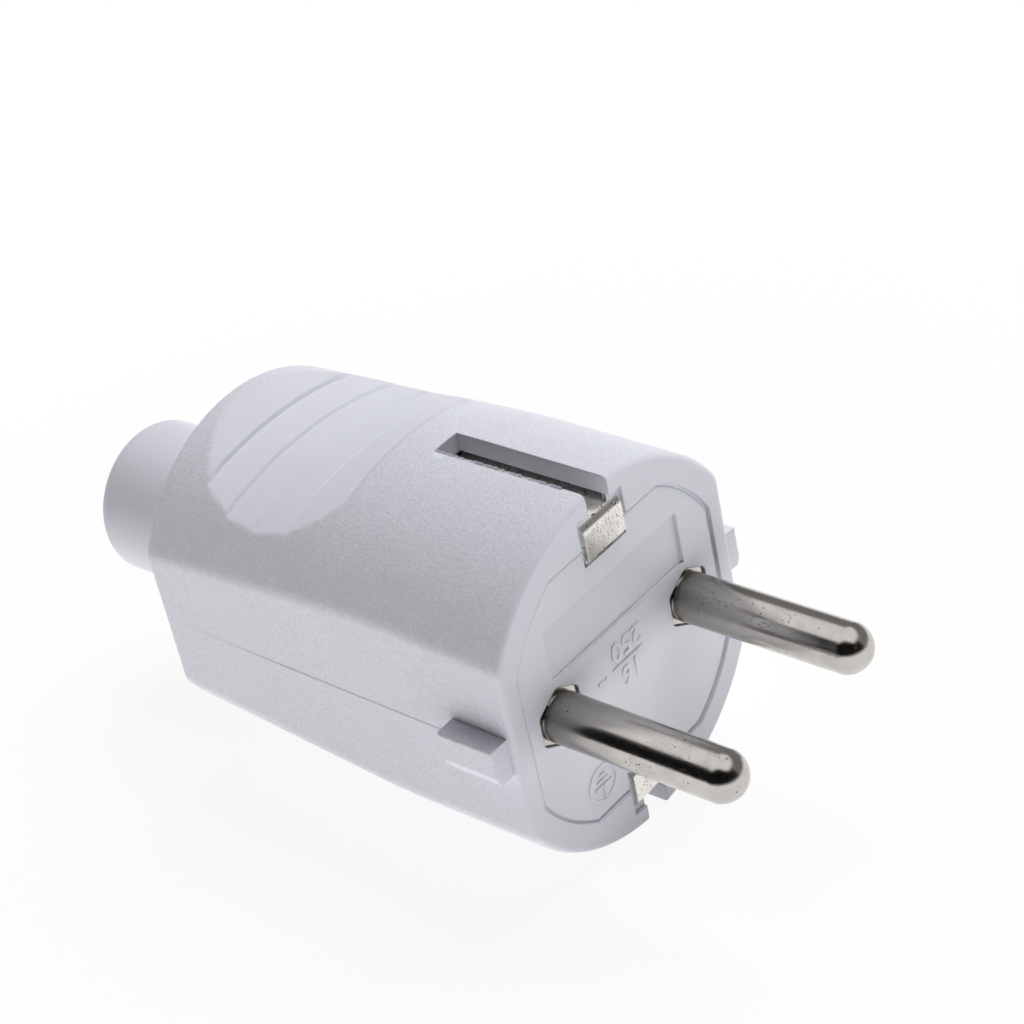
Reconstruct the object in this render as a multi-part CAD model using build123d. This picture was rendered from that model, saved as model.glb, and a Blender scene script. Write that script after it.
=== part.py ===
"""Straight earthed plug with two round pins, rewirable, in millimetres.

The origin is the centre of the engagement face, which is the front plane of the hood's rim.
X runs from pin to pin, Y runs along the plug from the pins to the cord, and Z points up.
"""
import math
import os

from build123d import *

# Pins
PIN_DIAMETER = 4.8
PIN_SPACING = 19.0
PIN_REACH = 19.4
PIN_TIP_HEIGHT = 2.0
COLLAR_ACROSS_FLATS = 5.25
COLLAR_LENGTH = 4.55
COLLAR_RECESS = 0.25
COLLAR_CORNER_RADIUS = 0.7
PIN_RELIEF = 0.2
SHANK_DIAMETER = 4.2

# Contact insert
INSERT_RECESS = 0.2
FACE_RADIUS = 15.5
FACE_HALF_HEIGHT = 13.45
FACE_SIDE_WEB = 1.6
FACE_THICKNESS = 5.9
FACE_EDGE_RADIUS = 0.25
PANEL_WIDTH = 19.2
PANEL_HEIGHT = 5.5
PANEL_RISE = 6.6
PANEL_DEPTH = 0.3
LEDGE_WIDTH = 0.7
SHANK_WEB = 7.0
WELL_DEPTH = 6.4
WELL_HALF_HEIGHT = 6.0
CENTRE_WALL = 8.6
NOTCH_DEPTH = 1.2
NOTCH_SIDE_GAP = 0.3
NOTCH_SHADOW = 0.6
TAIL_ROOM = 4.2
TAIL_END_GAP = 3.7
ARM_HEIGHT = 4.3
TAIL_TOP_DROP = 3.0
TAIL_FLOOR_DROP = 10.5

# Hood
HOOD_LENGTH = 44.8
SKIRT_LENGTH = 17.0
RIM_WALL = 2.8
SIDE_WALL = 1.95
REAR_NARROWING = 1.6
SIDE_NARROWING = 0.8
TAPER_BLEND_RADIUS = 120.0
SIDE_EDGE_RADIUS = 2.2
RIM_EDGE_RADIUS = 0.6
REAR_EDGE_RADIUS = 0.7
REAR_WALL = 2.2

# Side lugs of the hood
LUG_PROUD = 2.1
LUG_FRONT = 0.8
LUG_LENGTH = 6.2
LUG_HEIGHT = 4.0
LUG_CORNER_RADIUS = 1.2
LUG_EDGE_RADIUS = 0.3
LUG_BEVEL_WIDTH = 0.5
LUG_BEVEL_HEIGHT = 1.1

# Grip recesses of the hood
GRIP_SETBACK = 4.3
GRIP_RAMP = 0.8
GRIP_DEPTH = 3.05
GRIP_DISH_RADIUS = 23.5
GRIP_DISH_SETBACK = 13.6
GRIP_AXIS_DROP = 22.4
GRIP_WALL = 3.1
RIB_COUNT = 4
RIB_PITCH = 3.85
RIB_HEIGHT = 0.08
RIB_GROWTH = 0.06
RIB_RUN = 0.2
LAST_RIB_SETBACK = 5.5

# Earth strap
STRAP_WIDTH = 5.3
STRAP_THICKNESS = 0.8
STRAP_BEND_RADIUS = 1.2
STRAP_LIP_HEIGHT = 3.8
STRAP_PROUD = 0.15
SLOT_WIDTH = 3.0
SLOT_LIP = 2.0
POCKET_SIDE_GAP = 0.5
POCKET_TOP_GAP = 0.5
POCKET_END_GAP = 0.9

# Cord grip and gland
CORD_RADIUS = 4.25
SADDLE_WIDTH = 8.0
SADDLE_THICKNESS = 2.0
SADDLE_EAR = 3.0
SADDLE_SETBACK = 2.0
GLAND_RADIUS = 7.85
GLAND_REACH = 16.8
GLAND_END_RADIUS = 1.5
GLAND_MOUTH_RADIUS = 0.8
FLANGE_RADIUS = 9.6
FLANGE_THICKNESS = 1.6

# Screws and clamp plates
SCREW_RADIUS = 1.5
SCREW_HEAD_RADIUS = 2.75
SCREW_HEAD_HEIGHT = 2.0
SCREW_HEAD_EDGE = 0.5
DRIVER_SLOT_WIDTH = 0.8
DRIVER_SLOT_DEPTH = 1.0
PIN_SCREW_LENGTH = 7.0
EARTH_SCREW_LENGTH = 8.0
CLAMP_SCREW_LENGTH = 9.0
HOOD_SCREW_LENGTH = 7.5
PLATE_SIDE = 6.6
PLATE_THICKNESS = 1.0
BOSS_RADIUS = 3.6
HEAD_SINK = 0.3

# Clearances
SEAT_GAP = 0.2
CAVITY_GAP = 0.4
COLLAR_GAP = 0.12
SHANK_GAP = 0.1
THREAD_GAP = 0.05
HEAD_GAP = 0.3
GLAND_GAP = 0.15
CORD_GAP = 0.15
CUT_PAST = 1.0

# Places worked out from the sizes above
pin_x = PIN_SPACING / 2
pin_radius = PIN_DIAMETER / 2
shank_radius = SHANK_DIAMETER / 2
hex_hole_flats = COLLAR_ACROSS_FLATS + 2 * COLLAR_GAP
face_half_width = pin_x + hex_hole_flats / 2 + FACE_SIDE_WEB
face_back = INSERT_RECESS + FACE_THICKNESS
collar_front = INSERT_RECESS + COLLAR_RECESS
collar_back = collar_front + COLLAR_LENGTH
well_floor = collar_back + SHANK_WEB
body_back = well_floor + WELL_DEPTH

skirt_radius = FACE_RADIUS + SEAT_GAP + RIM_WALL
rear_radius = skirt_radius - REAR_NARROWING
side_front = face_half_width + SEAT_GAP + SIDE_WALL
side_rear = side_front - SIDE_NARROWING
cavity_radius = FACE_RADIUS + SEAT_GAP - LEDGE_WIDTH
cavity_half_width = face_half_width + SEAT_GAP - LEDGE_WIDTH
cavity_half_height = FACE_HALF_HEIGHT + SEAT_GAP - LEDGE_WIDTH
cavity_back = HOOD_LENGTH - REAR_WALL
body_radius = cavity_radius - CAVITY_GAP
body_half_width = cavity_half_width - CAVITY_GAP
body_half_height = cavity_half_height - CAVITY_GAP

pocket_top = skirt_radius - SLOT_LIP
strap_outer = pocket_top - POCKET_TOP_GAP
strap_inner = strap_outer - STRAP_THICKNESS
strap_front = -STRAP_PROUD
strap_back = body_back + STRAP_THICKNESS
lip_back = strap_front + STRAP_THICKNESS
lip_end = strap_outer - STRAP_LIP_HEIGHT
notch_floor = INSERT_RECESS + NOTCH_DEPTH
notch_half_width = STRAP_WIDTH / 2 + NOTCH_SIDE_GAP
pocket_half_width = STRAP_WIDTH / 2 + POCKET_SIDE_GAP
pocket_back = strap_back + POCKET_END_GAP

tail_front = strap_back + TAIL_ROOM
flange_front = cavity_back - FLANGE_THICKNESS
tail_back = flange_front - TAIL_END_GAP
saddle_middle = tail_back - SADDLE_SETBACK - SADDLE_WIDTH / 2
saddle_bore = CORD_RADIUS + CORD_GAP
saddle_arch = saddle_bore + SADDLE_THICKNESS
clamp_screw_x = saddle_arch + HEAD_GAP + SCREW_HEAD_RADIUS
saddle_half_length = clamp_screw_x + SCREW_HEAD_RADIUS
boss_y = tail_front + BOSS_RADIUS

grip_front = SKIRT_LENGTH + GRIP_SETBACK
grip_middle = HOOD_LENGTH - GRIP_DISH_SETBACK
grip_rear = grip_middle + math.sqrt(2 * GRIP_DISH_RADIUS * GRIP_DEPTH)
first_rib = HOOD_LENGTH - LAST_RIB_SETBACK - (RIB_COUNT - 1) * RIB_PITCH


def hood_radius(y):
    """Outer radius of the hood at a station behind the skirt."""
    share = (y - SKIRT_LENGTH) / (HOOD_LENGTH - SKIRT_LENGTH)
    return skirt_radius - REAR_NARROWING * share


def prism(outline, y_from, y_to):
    """Extrude an XZ outline along the plug from one station to another."""
    return extrude(Plane.XZ.offset(-y_to) * outline, amount=y_to - y_from)


def flatted_disc(radius, half_width, half_height):
    """Round outline cut flat at both sides, and at the top and bottom."""
    return Circle(radius) & Rectangle(2 * half_width, 2 * half_height)


def grown_disc(gap):
    """Outline of the insert's face, grown all round by a gap."""
    return flatted_disc(FACE_RADIUS + gap, face_half_width + gap, FACE_HALF_HEIGHT + gap)


def band(half_width, z_from, z_to):
    """Rectangle between two heights, centred on the plug's middle plane."""
    return Pos(0, (z_from + z_to) / 2) * Rectangle(2 * half_width, z_to - z_from)


def both_halves(shape):
    """The shape and its mirror image below the plug's axis."""
    return shape + mirror(shape, about=Plane.XY)


def hexagon(across_flats):
    """Hexagon with rounded corners and two flats facing along X."""
    flats = [Rot(0, 0, turn) * Rectangle(across_flats, 2 * across_flats) for turn in (0, 60, 120)]
    outline = flats[0] & flats[1] & flats[2]
    return fillet(outline.vertices(), COLLAR_CORNER_RADIUS)


def facing(origin, direction):
    """Plane whose normal points along a direction, with X along X."""
    return Plane(origin=origin, x_dir=(1, 0, 0), z_dir=direction)


def screw(length):
    """Slotted pan-head screw standing on its seat, head above and shank below."""
    head = extrude(Circle(SCREW_HEAD_RADIUS), amount=SCREW_HEAD_HEIGHT)
    head = fillet(head.edges().sort_by(Axis.Z)[-1], SCREW_HEAD_EDGE)
    across = 2 * (SCREW_HEAD_RADIUS + CUT_PAST)
    slot = Box(across, DRIVER_SLOT_WIDTH, 2 * DRIVER_SLOT_DEPTH)
    head -= Pos(0, 0, SCREW_HEAD_HEIGHT) * slot
    return head + extrude(Circle(SCREW_RADIUS), amount=-length)


def clamp_plate():
    """Square plate with a clearance hole, lying on its seat."""
    outline = Rectangle(PLATE_SIDE, PLATE_SIDE) - Circle(SCREW_RADIUS + SHANK_GAP)
    return extrude(outline, amount=PLATE_THICKNESS)


def hood_blank():
    """Outside of the hood: a turned form with a parallel skirt, cut flat at both sides."""
    outline = Polyline(
        (0, 0), (0, skirt_radius), (SKIRT_LENGTH, skirt_radius),
        (HOOD_LENGTH, rear_radius), (HOOD_LENGTH, 0), close=True)
    face = make_face(outline)
    shoulder = face.vertices().sort_by_distance((SKIRT_LENGTH, skirt_radius))[0]
    face = fillet(shoulder, TAPER_BLEND_RADIUS)
    turned = revolve(Plane.YZ * face, axis=Axis.Y)
    plan = make_face(Polyline(
        (side_front, 0), (side_rear, HOOD_LENGTH),
        (-side_rear, HOOD_LENGTH), (-side_front, 0), close=True))
    blank = turned & extrude(plan, amount=skirt_radius, both=True)
    ridges = [edge for edge in blank.edges() if edge.bounding_box().size.Y > SIDE_EDGE_RADIUS]
    blank = fillet(ridges, SIDE_EDGE_RADIUS)
    blank = fillet(blank.faces().sort_by(Axis.Y)[0].outer_wire().edges(), RIM_EDGE_RADIUS)
    return fillet(blank.faces().sort_by(Axis.Y)[-1].outer_wire().edges(), REAR_EDGE_RADIUS)


def grip_dish(y):
    """Depth of a grip recess's dished floor at a station, before its steps are added."""
    return GRIP_DEPTH - (y - grip_middle) ** 2 / (2 * GRIP_DISH_RADIUS)


def rear_half_height():
    """Half height of the cavity behind the strap, which keeps a wall under the grip recesses."""
    return hood_radius(grip_middle) - GRIP_DEPTH - GRIP_WALL


def grip_cutter():
    """Upper grip recess: a dish turned about an axis below the plug's, with forward-facing steps."""
    points = [(grip_front, 0.0)]
    for y in (grip_front + GRIP_RAMP, first_rib - RIB_PITCH):
        points.append((y, grip_dish(y)))
    for index in range(RIB_COUNT):
        rib = first_rib + index * RIB_PITCH
        foot = rib - RIB_RUN
        points.append((foot, grip_dish(foot) + RIB_HEIGHT + index * RIB_GROWTH))
        points.append((rib, grip_dish(rib)))
    points.append((grip_rear, 0.0))
    floor = [(y, hood_radius(y) - depth) for y, depth in points]
    roof = skirt_radius + CUT_PAST
    outline = Polyline(*floor, (floor[-1][0], roof), (floor[0][0], roof), close=True)
    return revolve(Plane.YZ * make_face(outline), axis=Axis((0, 0, -GRIP_AXIS_DROP), (0, 1, 0)))


def side_lug():
    """Guide lug on the right side of the hood."""
    outline = Pos(LUG_FRONT + LUG_LENGTH / 2, 0) * Rectangle(LUG_LENGTH, LUG_HEIGHT)
    rear_low = outline.vertices().sort_by_distance((LUG_FRONT + LUG_LENGTH, -LUG_HEIGHT / 2))[0]
    outline = fillet(rear_low, LUG_CORNER_RADIUS)
    root = side_rear - SIDE_WALL / 2
    crown = side_front + LUG_PROUD
    lug = extrude(Plane.YZ.offset(root) * outline, amount=crown - root)
    foot = -LUG_HEIGHT / 2
    wedge = make_face(Polyline(
        (crown, foot), (crown, foot + LUG_BEVEL_HEIGHT), (crown - LUG_BEVEL_WIDTH, foot), close=True))
    lug -= prism(wedge, LUG_FRONT, LUG_FRONT + LUG_LENGTH)
    return fillet(lug.faces().sort_by(Axis.X)[-1].outer_wire().edges(), LUG_EDGE_RADIUS)


def make_hood():
    """One-piece moulded sleeve."""
    hood = hood_blank()
    hood -= both_halves(grip_cutter())
    lug = side_lug()
    hood += lug + mirror(lug, about=Plane.YZ)
    hood -= prism(grown_disc(SEAT_GAP), -CUT_PAST, face_back)
    hood -= prism(flatted_disc(cavity_radius, cavity_half_width, cavity_half_height), 0, pocket_back)
    hood -= prism(flatted_disc(cavity_radius, cavity_half_width, rear_half_height()), 0, cavity_back)
    pocket = prism(band(pocket_half_width, 0, pocket_top), -CUT_PAST, pocket_back)
    slot = prism(band(SLOT_WIDTH / 2, 0, skirt_radius + CUT_PAST), -CUT_PAST, SKIRT_LENGTH)
    hood -= both_halves(pocket + slot)
    hood -= prism(Circle(GLAND_RADIUS + GLAND_GAP), 0, HOOD_LENGTH + CUT_PAST)
    below = facing((0, boss_y, 0), (0, 0, -1))
    hood -= below * extrude(Circle(SCREW_RADIUS + HEAD_GAP), amount=skirt_radius)
    head_well = extrude(Circle(SCREW_HEAD_RADIUS + HEAD_GAP), amount=skirt_radius)
    return hood - facing((0, boss_y, -hood_screw_seat()), (0, 0, -1)) * head_well


def hood_screw_seat():
    """Depth below the axis of the seat that the hood screw's head bears on."""
    floor = hood_radius(boss_y) - grip_dish(boss_y)
    return floor - SCREW_HEAD_HEIGHT - HEAD_SINK


def rounded_plate(outline):
    """Plate as thick as the insert's face, with its front edge rounded."""
    plate = prism(outline, INSERT_RECESS, face_back)
    return fillet(plate.faces().sort_by(Axis.Y)[0].outer_wire().edges(), FACE_EDGE_RADIUS)


def insert_face():
    """Front plate of the insert, with a bare sunk panel and the notches of the strap's lips."""
    outlines = (Circle(FACE_RADIUS), Rectangle(2 * face_half_width, 2 * FACE_HALF_HEIGHT))
    disc, block = (rounded_plate(outline) for outline in outlines)
    plate = disc & block
    panel = Pos(0, PANEL_RISE) * Rectangle(PANEL_WIDTH, PANEL_HEIGHT)
    plate -= prism(panel, INSERT_RECESS, INSERT_RECESS + PANEL_DEPTH)
    notch = band(notch_half_width, lip_end - NOTCH_SHADOW, FACE_RADIUS)
    return plate - both_halves(prism(notch, 0, notch_floor))


def insert_body():
    """Block behind the face, with a terminal well for each pin and the rails of the strap."""
    body = prism(flatted_disc(body_radius, body_half_width, body_half_height), face_back, body_back)
    for side in (-1, 1):
        width = body_half_width
        well = Pos(side * (CENTRE_WALL + width) / 2, 0) * Rectangle(width, 2 * WELL_HALF_HEIGHT)
        body -= prism(well, well_floor, body_back + CUT_PAST)
    rails = extrude(Plane.YZ * strap_inside(), amount=STRAP_WIDTH / 2 - SEAT_GAP, both=True)
    return body + rails - prism(Rectangle(2 * notch_half_width, 2 * lip_end), 0, notch_floor)


def insert_tail():
    """Tail below the cord that carries the cord clamp and the boss of the hood screw."""
    block = prism(band(body_half_width, -TAIL_FLOOR_DROP, -TAIL_TOP_DROP), tail_front, tail_back)
    arm_width = CENTRE_WALL
    for side in (-1, 1):
        arm = Pos(side * (pocket_half_width + arm_width / 2), ARM_HEIGHT / 2 - TAIL_FLOOR_DROP)
        block += prism(arm * Rectangle(arm_width, ARM_HEIGHT), body_back, tail_front)
    tail_half_height = rear_half_height() - CAVITY_GAP
    block &= prism(flatted_disc(body_radius, body_half_width, tail_half_height), body_back, tail_back)
    boss = facing((0, boss_y, -TAIL_TOP_DROP - SADDLE_EAR), (0, 0, -1))
    block += boss * extrude(Circle(BOSS_RADIUS), amount=tail_half_height - TAIL_TOP_DROP - SADDLE_EAR)
    return block - prism(Circle(saddle_bore), tail_front, tail_back)


def make_insert():
    """Moulded carrier of the pins, the earth strap and the cord clamp."""
    insert = insert_face() + insert_body() + insert_tail()
    tapped = Circle(SCREW_RADIUS + THREAD_GAP)
    for side in (-1, 1):
        at_pin = Pos(side * pin_x, 0)
        insert -= prism(at_pin * hexagon(hex_hole_flats), 0, collar_back)
        insert -= prism(at_pin * Circle(shank_radius + SHANK_GAP), 0, well_floor)
        tail_top = Pos(side * clamp_screw_x, saddle_middle, -TAIL_TOP_DROP)
        insert -= tail_top * extrude(tapped, amount=SADDLE_EAR - CLAMP_SCREW_LENGTH)
    insert -= prism(tapped, strap_back + PLATE_THICKNESS - EARTH_SCREW_LENGTH, body_back)
    seat = facing((0, boss_y, -hood_screw_seat()), (0, 0, 1))
    return insert - seat * extrude(tapped, amount=HOOD_SCREW_LENGTH)


def make_pin(side):
    """Turned pin with a domed tip, a relief in front of its hexagonal collar and a tapped shank."""
    cap_radius = (pin_radius ** 2 + PIN_TIP_HEIGHT ** 2) / (2 * PIN_TIP_HEIGHT)
    half_turn = math.asin(pin_radius / cap_radius) / 2
    middle = (cap_radius * math.sin(half_turn), cap_radius * (1 - math.cos(half_turn)) - PIN_REACH)
    shoulder = (pin_radius, PIN_TIP_HEIGHT - PIN_REACH)
    dome = ThreePointArc((0, -PIN_REACH), middle, shoulder)
    neck_radius = pin_radius - PIN_RELIEF
    rest = Polyline(
        shoulder, (pin_radius, INSERT_RECESS), (neck_radius, INSERT_RECESS),
        (neck_radius, collar_front), (0, collar_front), (0, -PIN_REACH))
    pin = revolve(make_face(dome + rest), axis=Axis.Y)
    pin += prism(hexagon(COLLAR_ACROSS_FLATS), collar_front, collar_back)
    pin += prism(Circle(shank_radius), collar_back, well_floor)
    depth = PIN_SCREW_LENGTH - PLATE_THICKNESS
    pin -= prism(Circle(SCREW_RADIUS + THREAD_GAP), well_floor - depth, well_floor)
    return Pos(side * pin_x, 0, 0) * pin


def strap_inside():
    """Side outline of the space inside the strap, which the insert's rails fill."""
    length = body_back - lip_back
    corner = STRAP_BEND_RADIUS - STRAP_THICKNESS
    return Pos(lip_back + length / 2, 0) * RectangleRounded(length, 2 * strap_inner, corner)


def make_strap():
    """Strip bent round the insert: front lips, two arms in the slots and a bridge behind."""
    length = strap_back - strap_front
    outer = RectangleRounded(length, 2 * strap_outer, STRAP_BEND_RADIUS)
    loop = Pos(strap_front + length / 2, 0) * outer - strap_inside()
    loop -= Pos(strap_front, 0) * Rectangle(length, 2 * lip_end)
    strap = extrude(Plane.YZ * loop, amount=STRAP_WIDTH / 2, both=True)
    return strap - prism(Circle(SCREW_RADIUS + THREAD_GAP), body_back, strap_back)


def make_saddle():
    """Arched bar over the cord, with an ear for a screw at each end."""
    base = -TAIL_TOP_DROP
    outline = band(saddle_half_length, base, base + SADDLE_EAR)
    outline += Circle(saddle_arch) & band(saddle_arch, base, saddle_arch)
    outline -= Circle(saddle_bore)
    saddle = prism(outline, saddle_middle - SADDLE_WIDTH / 2, saddle_middle + SADDLE_WIDTH / 2)
    for side in (-1, 1):
        hole = extrude(Circle(SCREW_RADIUS + SHANK_GAP), amount=SADDLE_EAR)
        saddle -= Pos(side * clamp_screw_x, saddle_middle, base) * hole
    return saddle


def make_gland():
    """Cable sleeve with a flange that is trapped inside the hood."""
    end = HOOD_LENGTH + GLAND_REACH
    sleeve = prism(Circle(GLAND_RADIUS), flange_front, end)
    sleeve = fillet(sleeve.edges().sort_by(Axis.Y)[-1], GLAND_END_RADIUS)
    sleeve += prism(Circle(FLANGE_RADIUS), flange_front, cavity_back)
    sleeve -= prism(Circle(saddle_bore), flange_front, end)
    mouth = sleeve.faces().sort_by(Axis.Y)[-1].inner_wires()[0].edges()
    return fillet(mouth, GLAND_MOUTH_RADIUS)


def make_parts():
    """Every named piece of the plug."""
    plate_seat = [facing((side * pin_x, well_floor, 0), (0, 1, 0)) for side in (-1, 1)]
    screw_seat = [facing((side * pin_x, well_floor + PLATE_THICKNESS, 0), (0, 1, 0)) for side in (-1, 1)]
    earth_seat = facing((0, strap_back, 0), (0, 1, 0))
    earth_head = facing((0, strap_back + PLATE_THICKNESS, 0), (0, 1, 0))
    ear_top = SADDLE_EAR - TAIL_TOP_DROP
    clamp_seat = [Pos(side * clamp_screw_x, saddle_middle, ear_top) for side in (-1, 1)]
    return {
        "hood": make_hood(),
        "contact_insert": make_insert(),
        "pin_left": make_pin(-1),
        "pin_right": make_pin(1),
        "pin_terminal_plates": Compound([seat * clamp_plate() for seat in plate_seat]),
        "pin_terminal_screws": Compound([seat * screw(PIN_SCREW_LENGTH) for seat in screw_seat]),
        "earth_strap": make_strap(),
        "earth_clamp_plate": earth_seat * clamp_plate(),
        "earth_terminal_screw": earth_head * screw(EARTH_SCREW_LENGTH),
        "cord_clamp_saddle": make_saddle(),
        "cord_clamp_screws": Compound([seat * screw(CLAMP_SCREW_LENGTH) for seat in clamp_seat]),
        "hood_screw": facing((0, boss_y, -hood_screw_seat()), (0, 0, -1)) * screw(HOOD_SCREW_LENGTH),
        "gland_sleeve": make_gland(),
    }


os.makedirs("parts", exist_ok=True)
for name, piece in make_parts().items():
    export_step(piece, f"parts/{name}.step")
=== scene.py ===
"""Looks of a straight earthed plug with two round pins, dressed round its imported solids, in metres."""
import logging
import math
import random
from dataclasses import dataclass
from enum import Enum

import bmesh
import bpy
from mathutils import Matrix, Vector
from mathutils.bvhtree import BVHTree


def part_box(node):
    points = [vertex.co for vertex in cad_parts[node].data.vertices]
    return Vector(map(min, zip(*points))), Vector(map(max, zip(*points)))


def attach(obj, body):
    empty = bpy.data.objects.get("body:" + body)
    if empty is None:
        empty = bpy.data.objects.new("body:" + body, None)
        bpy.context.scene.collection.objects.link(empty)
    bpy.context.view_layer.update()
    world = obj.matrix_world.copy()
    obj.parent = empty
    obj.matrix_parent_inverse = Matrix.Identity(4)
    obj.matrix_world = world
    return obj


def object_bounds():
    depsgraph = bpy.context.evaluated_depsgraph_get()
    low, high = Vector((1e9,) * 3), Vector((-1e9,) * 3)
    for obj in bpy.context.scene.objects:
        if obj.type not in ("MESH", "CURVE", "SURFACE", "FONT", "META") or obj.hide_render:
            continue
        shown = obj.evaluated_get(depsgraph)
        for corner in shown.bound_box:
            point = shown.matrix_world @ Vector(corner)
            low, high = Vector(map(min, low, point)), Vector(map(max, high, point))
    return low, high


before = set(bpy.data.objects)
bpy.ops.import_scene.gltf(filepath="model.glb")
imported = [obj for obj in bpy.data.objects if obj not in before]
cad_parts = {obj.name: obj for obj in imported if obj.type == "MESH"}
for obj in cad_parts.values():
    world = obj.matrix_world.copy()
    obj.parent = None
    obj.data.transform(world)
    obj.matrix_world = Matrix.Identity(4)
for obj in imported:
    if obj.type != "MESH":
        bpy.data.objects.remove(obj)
cad_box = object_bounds()

Colour = tuple[float, float, float, float]
Place = tuple[float, float]
Bar = tuple[Place, float, float]
Socket = bpy.types.NodeSocket

MM = 0.001
BODY = "root"
WHITE: Colour = (1.0, 1.0, 1.0, 1.0)
# How many times the hood's reach from its axis a ray starts away
RAY_REACH = 2
# Steps of a screen's colour channel, and the curve from a channel to linear light
SCREEN_STEPS = 255
SCREEN_LINEAR_END = 0.04045
SCREEN_LINEAR_SLOPE = 12.92
SCREEN_OFFSET = 0.055
SCREEN_POWER = 2.4
# Numbers of the sockets of the node that mixes colours
MIX_SHARE = 0
MIX_FIRST = 6
MIX_SECOND = 7
MIX_RESULT = 2
# Samples that round off an edge
EDGE_SAMPLES = 6
# Range that a noise pattern mostly fills before it is stretched, and its middle after that
NOISE_LOW = 0.3
NOISE_HIGH = 0.7
NOISE_MIDDLE = 0.5
# Radius of the largest specks over that of the smallest
SPECK_RANGE = 3.0
log = logging.getLogger("plug")


class Slot(Enum):
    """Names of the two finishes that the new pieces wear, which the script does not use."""

    HOOD = "hood_plastic"
    INSERT = "insert_plastic"


class Side(Enum):
    """The two sides of the plug, as signs of X."""

    LEFT = -1
    RIGHT = 1


def linear_light(level: int) -> float:
    """Turn one channel as a screen shows it into linear light.

    Args:
        level: Channel from 0 to 255.

    Returns:
        The share of full light.
    """
    share = level / SCREEN_STEPS
    if share <= SCREEN_LINEAR_END:
        return share / SCREEN_LINEAR_SLOPE
    return ((share + SCREEN_OFFSET) / (1 + SCREEN_OFFSET)) ** SCREEN_POWER


def srgb(red: int, green: int, blue: int) -> Colour:
    """Linear colour, with full cover, of red, green and blue from 0 to 255."""
    return (linear_light(red), linear_light(green), linear_light(blue), 1.0)


def direction(azimuth_deg: float, elevation_deg: float) -> Vector:
    """Point from the plug towards a place round it.

    Args:
        azimuth_deg: Turn about Z, 0 in front of the pins and 90 on the right.
        elevation_deg: Angle above the floor.

    Returns:
        The unit vector.
    """
    turn = math.radians(azimuth_deg)
    rise = math.radians(elevation_deg)
    level = math.cos(rise)
    return Vector((math.sin(turn) * level, -math.cos(turn) * level, math.sin(rise)))


def finished_mesh(shape: bmesh.types.BMesh, name: str) -> bpy.types.Mesh:
    """Turn a shape under construction into a mesh with its faces outwards.

    Args:
        shape: The shape, which is used up.
        name: Name of the mesh.

    Returns:
        The mesh.
    """
    bmesh.ops.recalc_face_normals(shape, faces=shape.faces)
    mesh = bpy.data.meshes.new(name)
    shape.to_mesh(mesh)
    shape.free()
    return mesh


def skin(shape: bmesh.types.BMesh, rows: list[list[bmesh.types.BMVert]], closed: bool = False) -> None:
    """Join neighbouring rows of corners by faces.

    Args:
        shape: Mesh under construction.
        rows: Rows with the same number of corners.
        closed: Whether the last row joins the first.
    """
    following = rows[1:] + rows[:1] if closed else rows[1:]
    for row, beside in zip(rows, following):
        for near, far, far_beside, near_beside in zip(row, row[1:], beside[1:], beside):
            shape.faces.new((near, far, far_beside, near_beside))


def curve_mesh(holder: bpy.types.Object) -> bpy.types.Mesh:
    """Make a mesh of a curve or text object as it stands.

    Args:
        holder: The object.

    Returns:
        The mesh.
    """
    shown = holder.evaluated_get(bpy.context.evaluated_depsgraph_get())
    return bpy.data.meshes.new_from_object(shown)


def link_piece(mesh: bpy.types.Mesh, name: str, material: bpy.types.Material) -> None:
    """Add a finished mesh to the scene as a piece that rides on the plug's body.

    Args:
        mesh: The mesh, already in the frame of the plug.
        name: Name of the piece.
        material: Finish of the piece.
    """
    piece = bpy.data.objects.new(name, mesh)
    bpy.context.scene.collection.objects.link(piece)
    mesh.materials.clear()
    mesh.materials.append(material)
    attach(piece, BODY)
    log.info("built %s with %d faces", name, len(mesh.polygons))


def surface(node_name: str) -> BVHTree:
    """Surface of a solid of the frame, for rays that look for it."""
    return BVHTree.FromObject(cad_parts[node_name], bpy.context.evaluated_depsgraph_get())


def dress(node_name: str, material: bpy.types.Material) -> None:
    """Give a solid of the frame its finish.

    Args:
        node_name: Name of the solid's node.
        material: The finish.
    """
    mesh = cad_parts[node_name].data
    mesh.materials.clear()
    mesh.materials.append(material)
    log.info("dressed %s as %s", node_name, material.name)


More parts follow.
